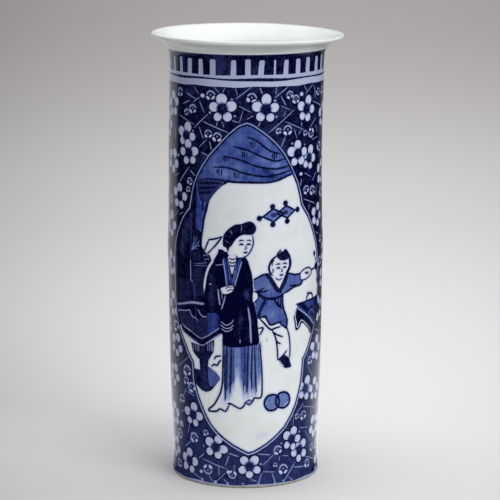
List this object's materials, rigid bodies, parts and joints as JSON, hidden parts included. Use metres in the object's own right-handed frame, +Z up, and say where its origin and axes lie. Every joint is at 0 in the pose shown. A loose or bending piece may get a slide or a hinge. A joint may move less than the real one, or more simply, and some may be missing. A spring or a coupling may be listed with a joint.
{
  "type": "sleeve vase",
  "caption": "Tall porcelain sleeve vase: a nearly straight cylinder with a turned foot ring and an everted mouth rim, painted in cobalt blue under a clear glaze.",
  "frame": {"origin": "centre of the foot's resting face, on the surface that the vase stands on", "axes": "+Z up along the axis that the vase is turned about; -Y towards the viewer, at the middle of the painted scene"},
  "size_m": [0.1112, 0.1112, 0.26],
  "materials": {
    "painted_glaze": "hand-painted underglaze cobalt blue on white porcelain under a glossy clear glaze",
    "clear_glaze": "glossy clear glaze with a faint green-grey cast on white porcelain",
    "bare_porcelain": "unglazed fired porcelain, matt and slightly warm, with kiln dust"
  },
  "bodies": {
    "root": {"foot_ring": "bare_porcelain", "base_disc": "clear_glaze", "lower_wall": "painted_glaze", "seam_slip": "painted_glaze", "upper_wall": "painted_glaze", "mouth_rim": "clear_glaze"}
  },
  "joints": []
}
